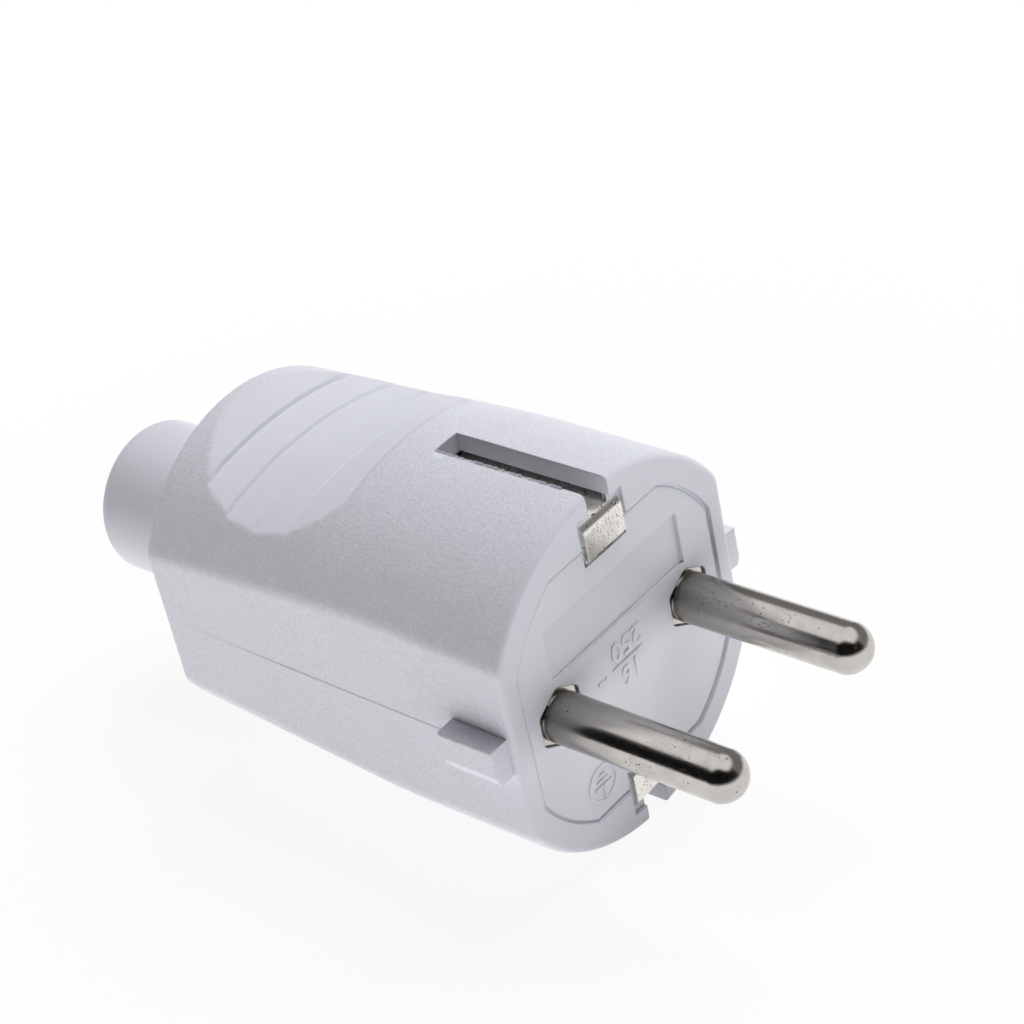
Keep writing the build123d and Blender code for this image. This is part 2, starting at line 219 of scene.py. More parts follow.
class NodeGraph:
    """Nodes of a material or of the surroundings, with short calls to add nodes and join them."""

    def __init__(self, tree: bpy.types.NodeTree, output: str) -> None:
        """Take up a tree, whose output node has the given name."""
        self.tree = tree
        self.output = tree.nodes[output]

    def add(self, kind: str, sockets: dict[str | int, object] | None = None,
            **settings: object) -> bpy.types.Node:
        """Add a node.

        Args:
            kind: Blender's name of the node type.
            sockets: Values of input sockets by name or number; an output socket is joined to the input.
            settings: Properties of the node.

        Returns:
            The node.
        """
        node = self.tree.nodes.new(kind)
        for key, value in settings.items():
            setattr(node, key, value)
        for key, value in (sockets or {}).items():
            self.feed(node.inputs[key], value)
        return node

    def feed(self, socket: Socket, value: object) -> None:
        """Set an input socket, or join it where the value is another node's output.

        Args:
            socket: The input socket.
            value: A plain value or an output socket.
        """
        if isinstance(value, Socket):
            self.tree.links.new(value, socket)
        else:
            socket.default_value = value

    def maths(self, operation: str, first: object, second: object = 0.0) -> Socket:
        """Work out a value from one or two others.

        Args:
            operation: Blender's name of the sum.
            first: First value or socket.
            second: Second value or socket, where the sum has one.

        Returns:
            The result.
        """
        return self.add("ShaderNodeMath", {0: first, 1: second}, operation=operation).outputs[0]

    def direct_rays(self) -> Socket:
        """Pick out the rays that show a thing itself, and not the light that it throws on others.

        Returns:
            A mask, 1 for rays from the camera, in gloss and through glass, and 0 for others.
        """
        path = self.add("ShaderNodeLightPath").outputs
        direct = path["Is Camera Ray"]
        for ray in ("Is Glossy Ray", "Is Transmission Ray"):
            direct = self.maths("MAXIMUM", direct, path[ray])
        return direct

    def mixed(self, share: Socket, first: bpy.types.Node, second: bpy.types.Node) -> bpy.types.Node:
        """Mix two shaders by a share.

        Args:
            share: How much of the second shader shows.
            first: Node of the shader at share 0.
            second: Node of the shader at share 1.

        Returns:
            Node of the mixed shader.
        """
        return self.add("ShaderNodeMixShader", {0: share, 1: first.outputs[0], 2: second.outputs[0]})

    def show(self, shader: bpy.types.Node) -> None:
        """Join a shader's node to the output."""
        self.feed(self.output.inputs["Surface"], shader.outputs[0])


class ShaderTree(NodeGraph):
    """Nodes of one material, with its patterns and masks."""

    def __init__(self, name: str) -> None:
        """Start a material that holds one main shader.

        Args:
            name: Name of the material.
        """
        self.material = bpy.data.materials.new(name)
        self.material.use_nodes = True
        super().__init__(self.material.node_tree, "Material Output")
        self.shader = self.tree.nodes["Principled BSDF"]
        self.place = self.add("ShaderNodeTexCoord").outputs["Object"]

    def show(self, shader: bpy.types.Node) -> None:
        """Put another shader's node in the place of the main one."""
        self.tree.nodes.remove(self.shader)
        super().show(shader)

    def spread(self, value: Socket, low: float, high: float, start: float, end: float) -> Socket:
        """Map a value from one range to another, held at both ends.

        Args:
            value: The value.
            low: Result at the start of the range.
            high: Result at its end.
            start: Start of the range.
            end: End of the range.

        Returns:
            The mapped value.
        """
        sockets = {"Value": value, "From Min": start, "From Max": end, "To Min": low, "To Max": high}
        return self.add("ShaderNodeMapRange", sockets).outputs["Result"]

    def noise(self, size: float, detail: float, place: Socket | None = None) -> Socket:
        """Soft random pattern, stretched to fill its range.

        Args:
            size: Size of its patches.
            detail: How many finer layers lie on it.
            place: Coordinates, the object's own where left out.

        Returns:
            The pattern's value, from 0 to 1.
        """
        sockets = {"Vector": place or self.place, "Scale": 1 / size, "Detail": detail}
        pattern = self.add("ShaderNodeTexNoise", sockets).outputs["Fac"]
        return self.spread(pattern, 0.0, 1.0, NOISE_LOW, NOISE_HIGH)

    def stretched(self, stretch: float) -> Socket:
        """Coordinates that draw a pattern out along the plug.

        Args:
            stretch: How many times longer than wide the pattern becomes.

        Returns:
            The coordinates.
        """
        sockets = {"Vector": self.place, "Scale": (1.0, 1 / stretch, 1.0)}
        return self.add("ShaderNodeMapping", sockets).outputs["Vector"]

    def along(self, axis: str) -> Socket:
        """Place along one axis of the plug's frame, which the axis' letter names."""
        return self.add("ShaderNodeSeparateXYZ", {"Vector": self.place}).outputs[axis]

    def off_axis(self) -> Socket:
        """Distance from the plug's axis."""
        across = self.add("ShaderNodeMapping", {"Vector": self.place, "Scale": (1.0, 0.0, 1.0)})
        return self.length(across.outputs["Vector"])

    def length(self, vector: Socket) -> Socket:
        """Length of a vector, as the output of one more node."""
        return self.add("ShaderNodeVectorMath", {0: vector}, operation="LENGTH").outputs["Value"]

    def blend(self, share: Socket, first: object, second: object) -> Socket:
        """Mix two colours by a share.

        Args:
            share: How much of the second colour shows.
            first: Colour, or socket of one, at share 0.
            second: Colour, or socket of one, at share 1.

        Returns:
            The mixed colour.
        """
        sockets = {MIX_SHARE: share, MIX_FIRST: first, MIX_SECOND: second}
        return self.add("ShaderNodeMix", sockets, data_type="RGBA").outputs[MIX_RESULT]

    def specks(self, spacing: float, radius: float, share: object) -> Socket:
        """Scatter small round specks in some cells of a random grid.

        Args:
            spacing: Size of the grid's cells.
            radius: Radius of the largest specks.
            share: Share of the cells that hold one, or a socket of it.

        Returns:
            A mask, 1 inside a speck and 0 outside.
        """
        cells = self.add("ShaderNodeTexVoronoi", {"Vector": self.place, "Scale": 1 / spacing})
        dice = self.add("ShaderNodeSeparateColor", {"Color": cells.outputs["Color"]}).outputs
        smaller = self.spread(dice["Green"], 1.0, SPECK_RANGE, 0.0, 1.0)
        far = self.maths("MULTIPLY", cells.outputs["Distance"], smaller)
        rim = radius / spacing
        inside = self.spread(far, 1.0, 0.0, rim / 2, rim)
        return self.maths("MULTIPLY", inside, self.maths("LESS_THAN", dice["Red"], share))

    def edge_normal(self, radius: object) -> Socket:
        """Surface direction with sharp edges rounded off.

        Args:
            radius: Radius that the edges seem to have, or a socket of it.

        Returns:
            The direction.
        """
        return self.add("ShaderNodeBevel", {"Radius": radius}, samples=EDGE_SAMPLES).outputs["Normal"]

    def edges(self, rounded: Socket, flat_share: float, edge_share: float) -> Socket:
        """Find the sharp edges by how far rounding turns the surface there.

        Args:
            rounded: Surface direction with its edges rounded off.
            flat_share: Agreement of both directions where the surface counts as flat.
            edge_share: Agreement of both directions where it counts as an edge.

        Returns:
            A mask, 1 on an edge and 0 away from it.
        """
        true_normal = self.add("ShaderNodeNewGeometry").outputs["Normal"]
        sockets = {0: rounded, 1: true_normal}
        match = self.add("ShaderNodeVectorMath", sockets, operation="DOT_PRODUCT").outputs["Value"]
        return self.spread(match, 1.0, 0.0, edge_share, flat_share)

    def relief(self, layers: list[tuple[Socket, float]], normal: Socket) -> None:
        """Give the surface a fine relief.

        Args:
            layers: Pattern and depth of each layer of the relief.
            normal: Surface direction under the relief.
        """
        for height, depth in layers:
            sockets = {"Height": height, "Distance": depth, "Normal": normal}
            normal = self.add("ShaderNodeBump", sockets).outputs["Normal"]
        self.feed(self.shader.inputs["Normal"], normal)


@dataclass(frozen=True)
class MouldedPlastic:
    """Light moulded plastic: clouded colour, fine grain with painted shade in its valleys, slow waves, a
    few specks, and edges painted in place of the light and shade they catch.
    """

    name: str
    colour: Colour
    cloud_colour: Colour
    grain_size: float
    grain_depth: float
    roughness_low: float
    roughness_high: float
    edge_radius: float = 0.15 * MM
    # Painted shade in the grain's valleys: its colour, and how much of it shows at the deepest point
    valley_shade_colour: Colour = srgb(196, 197, 204)
    valley_shade_share: float = 0.0
    # Colour painted on sharp edges in place of their light and shade; by default lighter than the body, a
    # painted highlight
    painted_edge_colour: Colour = srgb(236, 237, 242)
    edge_share: float = 0.8
    flat_share: float = 0.985
    wave_size: float = 2.6 * MM
    wave_depth: float = 0.012 * MM
    cloud_size: float = 6 * MM
    cloud_detail: float = 3.0
    grain_detail: float = 2.0
    speck_spacing: float = 3.2 * MM
    speck_radius: float = 0.09 * MM
    speck_share: float = 0.05
    speck_colour: Colour = srgb(120, 116, 110)
    refraction: float = 1.46

    def grain(self, tree: ShaderTree) -> Socket:
        """Pattern of the surface's grain, drawn in the finish's tree."""
        return tree.noise(self.grain_size, self.grain_detail)

    def rounding(self, tree: ShaderTree) -> object:
        """Radius of the softened edges, or a socket of it in the finish's tree."""
        return self.edge_radius

    def painted_edge_tint(self, tree: ShaderTree) -> object:
        """Colour painted on the edges in place of the light and shade they catch, or a socket of it in the
        finish's tree.
        """
        return self.painted_edge_colour

    def material(self) -> bpy.types.Material:
        """Build the finish.

        Returns:
            Its material.
        """
        tree = ShaderTree(self.name)
        rounded = tree.edge_normal(self.rounding(tree))
        grain = self.grain(tree)
        waves = tree.noise(self.wave_size, self.grain_detail)
        clouds = tree.noise(self.cloud_size, self.cloud_detail)
        # Painted shade: the colour darkens in the grain's valleys, where shade would fall
        valley_shade = tree.spread(grain, self.valley_shade_share, 0.0, 0.0, 1.0)
        tint = tree.blend(valley_shade, tree.blend(clouds, self.colour, self.cloud_colour), self.valley_shade_colour)
        # Painted light on the edges: the edge colour stands in for the highlight and shade they catch
        edges = tree.edges(rounded, self.flat_share, self.edge_share)
        painted_edges = tree.blend(edges, tint, self.painted_edge_tint(tree))
        dust = tree.specks(self.speck_spacing, self.speck_radius, self.speck_share)
        tree.feed(tree.shader.inputs["Base Color"], tree.blend(dust, painted_edges, self.speck_colour))
        gloss = tree.spread(grain, self.roughness_low, self.roughness_high, 0.0, 1.0)
        tree.feed(tree.shader.inputs["Roughness"], gloss)
        tree.shader.inputs["IOR"].default_value = self.refraction
        tree.relief([(waves, self.wave_depth), (grain, self.grain_depth)], rounded)
        return tree.material


@dataclass(frozen=True)
class GrainedHood(MouldedPlastic):
    """Plastic of the hood, grained on its outer skin and smooth in the grip recesses and on the rim."""

    front_radius: float = 18.5 * MM
    rear_radius: float = 16.9 * MM
    taper_front: float = 17.0 * MM
    taper_rear: float = 44.8 * MM
    flat_x: float = 14.9 * MM
    skin_depth: float = 0.2 * MM
    rim_width: float = 0.7 * MM
    grip_edge_radius: float = 0.9 * MM
    grip_front: float = 20.0 * MM
    grip_shallow: float = 0.15 * MM
    grip_deep: float = 0.7 * MM
    # Painted shade in the grooves of the ribs of the grip recesses
    rib_shade_colour: Colour = srgb(180, 180, 188)

    def sunk(self, tree: ShaderTree) -> Socket:
        """Depth of the surface below the hood's round outside, drawn in the finish's tree."""
        ends = (self.front_radius, self.rear_radius, self.taper_front, self.taper_rear)
        return tree.maths("SUBTRACT", tree.spread(tree.along("Y"), *ends), tree.off_axis())

    def rounding(self, tree: ShaderTree) -> Socket:
        """Radius of the softened edges, which is larger along the rims of the grip recesses.

        Args:
            tree: Tree of the finish.

        Returns:
            The radius.
        """
        near_rim = tree.spread(self.sunk(tree), self.grip_edge_radius, self.edge_radius,
                               self.grip_shallow, self.grip_deep)
        behind = tree.spread(tree.along("Y"), self.edge_radius, self.grip_edge_radius,
                             self.taper_front, self.grip_front)
        return tree.maths("MINIMUM", near_rim, behind)

    def painted_edge_tint(self, tree: ShaderTree) -> Socket:
        """Colour painted on the edges, with painted shade in the grooves of the ribs of the grip recesses.

        Args:
            tree: Tree of the finish.

        Returns:
            The colour.
        """
        # Painted shade: the edges of the ribs inside the grip recesses turn darker
        sunk = tree.spread(self.sunk(tree), 0.0, 1.0, self.grip_shallow, self.grip_deep)
        behind = tree.maths("GREATER_THAN", tree.along("Y"), self.grip_front)
        side = tree.maths("ABSOLUTE", tree.along("X"))
        between = tree.maths("MULTIPLY", behind, tree.maths("LESS_THAN", side, self.flat_x))
        return tree.blend(tree.maths("MULTIPLY", sunk, between), self.painted_edge_colour, self.rib_shade_colour)

    def grain(self, tree: ShaderTree) -> Socket:
        """Pattern of the grain, which fades out where the surface is not outer skin.

        Args:
            tree: Tree of the finish.

        Returns:
            The pattern.
        """
        round_skin = tree.spread(self.sunk(tree), 1.0, 0.0, self.skin_depth / 2, self.skin_depth)
        side = tree.maths("ABSOLUTE", tree.along("X"))
        outer_skin = tree.maths("MAXIMUM", round_skin, tree.maths("GREATER_THAN", side, self.flat_x))
        behind_rim = tree.spread(tree.along("Y"), 0.0, 1.0, self.rim_width / 2, self.rim_width)
        share = tree.maths("MULTIPLY", outer_skin, behind_rim)
        centred = tree.maths("SUBTRACT", super().grain(tree), NOISE_MIDDLE)
        return tree.maths("ADD", tree.maths("MULTIPLY", centred, share), NOISE_MIDDLE)


@dataclass(frozen=True)
class PlatedMetal:
    """Plated metal: clouded gloss, fine drawn lines along the plug and dark pits in patches."""

    name: str
    colour: Colour
    dull_colour: Colour
    roughness_low: float
    roughness_high: float
    pit_share: float = 0.3
    pit_spacing: float = 0.3 * MM
    pit_radius: float = 0.07 * MM
    pit_patch: float = 4.0 * MM
    pit_patch_detail: float = 0.0
    pit_free: float = 0.45
    pit_colour: Colour = srgb(70, 62, 54)
    pit_depth: float = 0.02 * MM
    cloud_size: float = 1.6 * MM
    cloud_detail: float = 4.0
    line_width: float = 0.06 * MM
    line_stretch: float = 40.0
    line_depth: float = 0.0015 * MM
    line_detail: float = 2.0
    edge_radius: float = 0.1 * MM

    def plate(self, tree: ShaderTree, clouds: Socket) -> Socket:
        """Colour of the plating without its pits.

        Args:
            tree: Tree of the finish.
            clouds: Pattern of its duller patches.

        Returns:
            The colour.
        """
        return tree.blend(clouds, self.colour, self.dull_colour)

    def shine(self, tree: ShaderTree, clouds: Socket) -> Socket:
        """Roughness of the plating.

        Args:
            tree: Tree of the finish.
            clouds: Pattern of its duller patches.

        Returns:
            The roughness.
        """
        return tree.spread(clouds, self.roughness_low, self.roughness_high, 0.0, 1.0)

    def rounding(self, tree: ShaderTree) -> object:
        """Radius of the softened edges, or a socket of it in the finish's tree."""
        return self.edge_radius

    def material(self) -> bpy.types.Material:
        """Build the finish.

        Returns:
            Its material.
        """
        tree = ShaderTree(self.name)
        tree.shader.inputs["Metallic"].default_value = 1.0
        clouds = tree.noise(self.cloud_size, self.cloud_detail)
        patches = tree.noise(self.pit_patch, self.pit_patch_detail)
        pitted = tree.spread(patches, 0.0, self.pit_share, self.pit_free, 1.0)
        pits = tree.specks(self.pit_spacing, self.pit_radius, pitted)
        lines = tree.noise(self.line_width, self.line_detail, tree.stretched(self.line_stretch))
        plate = self.plate(tree, clouds)
        tree.feed(tree.shader.inputs["Base Color"], tree.blend(pits, plate, self.pit_colour))
        tree.feed(tree.shader.inputs["Roughness"], self.shine(tree, clouds))
        sunk = tree.maths("SUBTRACT", 1.0, pits)
        rounded = tree.edge_normal(self.rounding(tree))
        tree.relief([(lines, self.line_depth), (sunk, self.pit_depth)], rounded)
        return tree.material


@dataclass(frozen=True)
class TurnedPlating(PlatedMetal):
    """Plating of the turned pins: its fine grooves run round, it is rougher towards the foot, and its
    colour darkens towards the foot as a painted reflection of the grey insert face.
    """

    # Painted reflection: the pin darkens to this colour towards its foot, standing in for the grey insert
    # face mirrored there
    painted_foot_colour: Colour = srgb(138, 135, 131)
    foot_roughness: float = 0.32
    foot_station: float = 0.1 * MM
    bright_station: float = -9 * MM
    dome_station: float = -17.6 * MM
    dome_length: float = 1.2 * MM
    dome_roughness: float = 0.15
    dome_smoothing: float = 0.6 * MM
    groove_blur: float = 0.7
    groove_turn: float = 0.25

    @property
    def dome_end(self) -> float:
        """Station where the dome of a tip ends and the shaft starts."""
        return self.dome_station + self.dome_length

    def rounding(self, tree: ShaderTree) -> Socket:
        """Reach of the smoothing, which only the domed tips get, drawn in the finish's tree."""
        return tree.spread(tree.along("Y"), self.dome_smoothing, 0.0, self.dome_station, self.dome_end)

    def plate(self, tree: ShaderTree, clouds: Socket) -> Socket:
        """Colour of the plating, darker near the foot of a pin as a painted reflection of the grey insert
        face.

        Args:
            tree: Tree of the finish.
            clouds: Pattern of its duller patches.

        Returns:
            The colour.
        """
        station = tree.along("Y")
        # Painted reflection: the shaft darkens towards its foot
        foot = tree.spread(station, 0.0, 1.0, self.bright_station, self.foot_station)
        shaft = tree.maths("MULTIPLY", foot, tree.maths("LESS_THAN", station, self.foot_station))
        return tree.blend(shaft, super().plate(tree, clouds), self.painted_foot_colour)

    def shine(self, tree: ShaderTree, clouds: Socket) -> Socket:
        """Roughness of the plating, held low on the dome and highest at the foot.

        Args:
            tree: Tree of the finish.
            clouds: Pattern of its duller patches.

        Returns:
            The roughness.
        """
        tree.shader.inputs["Anisotropic"].default_value = self.groove_blur
        tree.shader.inputs["Anisotropic Rotation"].default_value = self.groove_turn
        round_axis = tree.add("ShaderNodeTangent", direction_type="RADIAL", axis="Y")
        tree.feed(tree.shader.inputs["Tangent"], round_axis.outputs["Tangent"])
        station = tree.along("Y")
        body = super().shine(tree, clouds)
        foot = tree.spread(station, 0.0, self.foot_roughness, self.bright_station, self.foot_station)
        on_shaft = tree.maths("LESS_THAN", station, self.foot_station)
        shaft = tree.maths("MAXIMUM", body, tree.maths("MULTIPLY", foot, on_shaft))
        tip = tree.spread(station, self.dome_roughness, 1.0, self.dome_station, self.dome_end)
        return tree.maths("MINIMUM", shaft, tip)


@dataclass(frozen=True)
class StudioWhite:
    """White floor that looks white, takes a soft shadow and throws light back, least below the plug."""

    name: str = "floor_white"
    bounce: float = 1.5
    shaded_bounce: float = 0.6
    shade_start: float = 10 * MM
    shade_end: float = 30 * MM
    shade_stretch: float = 2.2
    shadow_share: float = 0.1
    shadow_reach: float = 100 * MM

    def material(self) -> bpy.types.Material:
        """Build the floor's finish.

        Returns:
            Its material.
        """
        tree = ShaderTree(self.name)
        far = tree.length(tree.place)
        share = tree.spread(far, self.shadow_share, 0.0, self.shadow_reach / 2, self.shadow_reach)
        white = tree.add("ShaderNodeEmission", {"Color": WHITE})
        matt = tree.add("ShaderNodeBsdfDiffuse", {"Color": WHITE})
        shown = tree.mixed(share, white, matt)
        ends = (self.shaded_bounce, self.bounce, self.shade_start, self.shade_end)
        strength = tree.spread(tree.length(tree.stretched(self.shade_stretch)), *ends)
        thrown = tree.add("ShaderNodeEmission", {"Color": WHITE, "Strength": strength})
        tree.show(tree.mixed(tree.direct_rays(), thrown, shown))
        tree.material.cycles.emission_sampling = "NONE"
        return tree.material


@dataclass(frozen=True)
class SurroundGrey:
    """Even glow of a studio wall, which only shows in gloss."""

    name: str
    shade: float

    def material(self) -> bpy.types.Material:
        """Build the wall's finish.

        Returns:
            Its material.
        """
        tree = ShaderTree(self.name)
        tree.show(tree.add("ShaderNodeEmission", {"Color": WHITE, "Strength": self.shade}))
        tree.material.cycles.emission_sampling = "NONE"
        return tree.material


@dataclass
class Hood:
    """Moulded hood, with the lip round the insert, the parting lines and the flash of the upper slot."""

    finish: MouldedPlastic
    lip_sink: float = 0.35 * MM
    lip_depth: float = 0.4 * MM
    lip_bite: float = 0.02 * MM
    lip_steps: int = 360
    line_width: float = 0.18 * MM
    line_height: float = 0.07 * MM
    line_start: float = 7.2 * MM
    line_fade: float = 14 * MM
    rear_margin: float = 1.6 * MM
    line_steps: int = 90
    ridge_root: float = 0.05 * MM
    flash_offset: float = 1.56 * MM
    flash_start: float = 2.4 * MM
    flash_end: float = 16.9 * MM
    flash_width: float = 0.12 * MM
    flash_height: float = 0.28 * MM
    flash_least: float = 0.3
    flash_steps: int = 60
    flash_seed: int = 5

    def build(self) -> None:
        """Dress the hood, close its lip, and lay its parting lines and the flash of its slot."""
        material = self.finish.material()
        dress("hood", material)
        link_piece(self.mouth_lip(), "mouth_lip", material)
        for side in Side:
            link_piece(self.parting_line(side), f"parting_line_{side.name.lower()}", material)
        link_piece(self.slot_flash(), "slot_flash", material)

    def mouth_lip(self) -> bpy.types.Mesh:
        """Fill the gap round the insert a little below the rim.

        Returns:
            The lip's mesh.
        """
        hood, insert = surface("hood"), surface("contact_insert")
        outside = RAY_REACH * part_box("hood")[1].z
        middle = Vector((0, self.lip_sink + self.lip_depth / 2, 0))
        shape = bmesh.new()
        rows = []
        for step in range(self.lip_steps):
            turn = 2 * math.pi * step / self.lip_steps
            out = Vector((math.cos(turn), 0, math.sin(turn)))
            inner = insert.ray_cast(middle + out * outside, -out)[0]
            outer = hood.ray_cast(inner + out * self.lip_bite, out)[0]
            rows.append(self.lip_row(shape, inner, outer, out) if outer else None)
        for row, beside in zip(rows, rows[1:] + rows[:1]):
            if row and beside:
                skin(shape, [row, beside])
        return finished_mesh(shape, "mouth_lip")

    def lip_row(self, shape: bmesh.types.BMesh, inner: Vector, outer: Vector,
                out: Vector) -> list[bmesh.types.BMVert]:
        """Add the corners of the lip at one place.

        Args:
            shape: Mesh under construction.
            inner: Point on the insert.
            outer: Point on the hood.
            out: Direction from the plug's axis.

        Returns:
            The corners, from the insert round to the insert again.
        """
        half = Vector((0, self.lip_depth / 2, 0))
        bite = out * self.lip_bite
        corners = (inner - bite - half, outer + bite - half, outer + bite + half, inner - bite + half)
        return [shape.verts.new(corner) for corner in (*corners, corners[0])]

    def parting_line(self, side: Side) -> bpy.types.Mesh:
        """Lay a low ridge on one side of the hood, half way up, that dies away to the rear.

        Args:
            side: Side of the plug.

        Returns:
            The ridge's mesh.
        """
        hood = surface("hood")
        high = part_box("hood")[1]
        end = high.y - self.rear_margin
        out = Vector((side.value, 0, 0))
        line = []
        for step in range(self.line_steps + 1):
            along = self.line_start + (end - self.line_start) * step / self.line_steps
            strength = min(1.0, (end - along) / self.line_fade)
            start = out * RAY_REACH * high.x + Vector((0, along, 0))
            line.append((hood.ray_cast(start, -out)[0], strength))
        return self.ridge(line, out, self.line_width, self.line_height)

    def slot_flash(self) -> bpy.types.Mesh:
        """Raise the ragged moulding flash on the left edge of the upper slot.

        Returns:
            The flash's mesh.
        """
        hood = surface("hood")
        dice = random.Random(self.flash_seed)
        out = Vector((0, 0, 1))
        above = out * RAY_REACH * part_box("hood")[1].z
        line = []
        for step in range(self.flash_steps + 1):
            along = self.flash_start + (self.flash_end - self.flash_start) * step / self.flash_steps
            start = above + Vector((-self.flash_offset, along, 0))
            line.append((hood.ray_cast(start, -out)[0], dice.uniform(self.flash_least, 1.0)))
        return self.ridge(line, out, self.flash_width, self.flash_height)

    def ridge(self, line: list[tuple[Vector, float]], out: Vector, width: float,
              height: float) -> bpy.types.Mesh:
        """Lay a low ridge along the plug on the hood's surface.

        Args:
            line: Points on the surface, each with the share of the full height that the ridge has there.
            out: Direction out of the surface.
            width: Width of the ridge at its foot.
            height: Full height of the ridge.

        Returns:
            The ridge's mesh.
        """
        foot = out.cross(Vector((0, 1, 0))) * width / 2
        shape = bmesh.new()
        rows = []
        for hit, strength in line:
            low = hit - out * self.ridge_root
            corners = (low - foot, hit + out * height * strength, low + foot)
            rows.append([shape.verts.new(corner) for corner in corners])
        skin(shape, rows)
        mesh = finished_mesh(shape, "ridge")
        mesh.shade_smooth()
        return mesh


@dataclass
class ContactInsert:
    """Front insert, with raised rating numerals and the earth sign on its face."""

    finish: MouldedPlastic
    mark_height: float = 0.12 * MM
    mark_sink: float = 0.05 * MM
    mark_edge: float = 0.03 * MM
    mark_edge_steps: int = 2
    numeral_height: float = 2.1 * MM
    stroke_growth: float = 0.008 * MM
    current: str = "16"
    current_place: Place = (0.0, -1.85 * MM)
    voltage: str = "250"
    voltage_place: Place = (0.1 * MM, 1.25 * MM)
    wave: str = "~"
    wave_place: Place = (-3.7 * MM, -0.4 * MM)
    wave_height: float = 0.75 * MM
    bar_length: float = 4.4 * MM
    bar_width: float = 0.22 * MM
    bar_place: Place = (0.0, -0.28 * MM)
    sign_place: Place = (-6.3 * MM, -10.1 * MM)
    sign_radius: float = 1.85 * MM
    sign_line: float = 0.24 * MM
    sign_bars: tuple[float, ...] = (2.4 * MM, 1.6 * MM, 0.8 * MM)
    sign_bar_pitch: float = 0.6 * MM
    sign_bar_drop: float = 0.24 * MM
    sign_steps: int = 64

    def build(self) -> None:
        """Dress the insert and raise the marks on its face."""
        material = self.finish.material()
        dress("contact_insert", material)
        marks = {
            "rating_current": self.glyphs(self.current, self.numeral_height, self.current_place),
            "rating_voltage": self.glyphs(self.voltage, self.numeral_height, self.voltage_place),
            "rating_wave": self.glyphs(self.wave, self.wave_height, self.wave_place),
            "rating_bar": self.bars([(self.bar_place, self.bar_length, self.bar_width)], "rating_bar"),
            "earth_sign_ring": self.ring(),
            "earth_sign_bars": self.bars(self.sign_lines(), "earth_sign_bars"),
        }
        for name, mesh in marks.items():
            link_piece(mesh, name, material)

    def on_face(self, place: Place) -> Matrix:
        """Frame of a mark on the insert's face, upside down as the plug lies.

        Args:
            place: X and Z of the mark's middle.

        Returns:
            Matrix from the mark's own plane to the plug.
        """
        turn = Matrix(((-1, 0, 0), (0, 0, -1), (0, -1, 0))).to_4x4()
        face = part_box("contact_insert")[0].y
        return Matrix.Translation((place[0], face, place[1])) @ turn

    def glyphs(self, text: str, height: float, place: Place) -> bpy.types.Mesh:
        """Raise numerals on the face.

        Args:
            text: The numerals.
            height: Height of a numeral.
            place: X and Z of the middle.

        Returns:
            The numerals' mesh.
        """
        curve = bpy.data.curves.new("numerals", "FONT")
        curve.body = text
        curve.extrude = (self.mark_height + self.mark_sink) / 2 - self.mark_edge
        curve.bevel_depth = self.mark_edge
        curve.offset = self.stroke_growth
        holder = bpy.data.objects.new("numerals", curve)
        bpy.context.scene.collection.objects.link(holder)
        # A first mesh shows how tall the numerals come out, and the size is corrected by it
        curve.size = height
        rises = [v.co.y for v in curve_mesh(holder).vertices]
        curve.size = height * height / (max(rises) - min(rises))
        mesh = curve_mesh(holder)
        bpy.data.objects.remove(holder)
        corners = [tuple(v.co) for v in mesh.vertices]
        middle = Vector([(min(axis) + max(axis)) / 2 for axis in zip(*corners)])
        lift = Vector((0, 0, (self.mark_height - self.mark_sink) / 2))
        mesh.transform(self.on_face(place) @ Matrix.Translation(lift - middle))
        return mesh

    def sign_lines(self) -> list[Bar]:
        """Lay out the stem and the bars of the earth sign.

        Returns:
            Middle, length across and width of each.
        """
        x, z = self.sign_place
        first = z - self.sign_bar_drop
        stem = self.sign_radius - self.sign_bar_drop
        lines = [((x, first - stem / 2), self.sign_line, stem)]
        for row, length in enumerate(self.sign_bars):
            lines.append(((x, first + row * self.sign_bar_pitch), length, self.sign_line))
        return lines

    def bars(self, lines: list[Bar], name: str) -> bpy.types.Mesh:
        """Raise straight bars on the face.

        Args:
            lines: Middle, length along X and width along Z of each bar.
            name: Name of the mesh.

        Returns:
            The bars' mesh.
        """
        shape = bmesh.new()
        thick = self.mark_height + self.mark_sink
        lift = (self.mark_height - self.mark_sink) / 2
        for place, length, width in lines:
            stretch = Matrix.Diagonal((length, width, thick, 1.0))
            put = self.on_face(place) @ Matrix.Translation((0, 0, lift)) @ stretch
            bmesh.ops.create_cube(shape, size=1.0, matrix=put)
        bmesh.ops.bevel(shape, geom=shape.edges[:], offset=self.mark_edge,
                        segments=self.mark_edge_steps, affect="EDGES")
        return finished_mesh(shape, name)

    def ring(self) -> bpy.types.Mesh:
        """Raise the ring of the earth sign.

        Returns:
            The ring's mesh.
        """
        shape = bmesh.new()
        half = self.sign_line / 2
        top = self.mark_height
        edge = self.mark_edge
        outer = [(half, -self.mark_sink), (half, top - edge), (half - edge, top)]
        section = outer + [(-out, up) for out, up in reversed(outer)]
        rows = []
        for step in range(self.sign_steps):
            turn = Matrix.Rotation(2 * math.pi * step / self.sign_steps, 4, "Z")
            rim = [turn @ Vector((self.sign_radius + out, 0, up)) for out, up in section]
            rows.append([shape.verts.new(corner) for corner in rim])
        skin(shape, rows, closed=True)
        shape.transform(self.on_face(self.sign_place))
        return finished_mesh(shape, "earth_sign_ring")


@dataclass
class MetalParts:
    """Solids of one metal finish."""

    finish: PlatedMetal
    nodes: tuple[str, ...]

    def build(self) -> None:
        """Dress each solid with the finish."""
        material = self.finish.material()
        for node in self.nodes:
            dress(node, material)


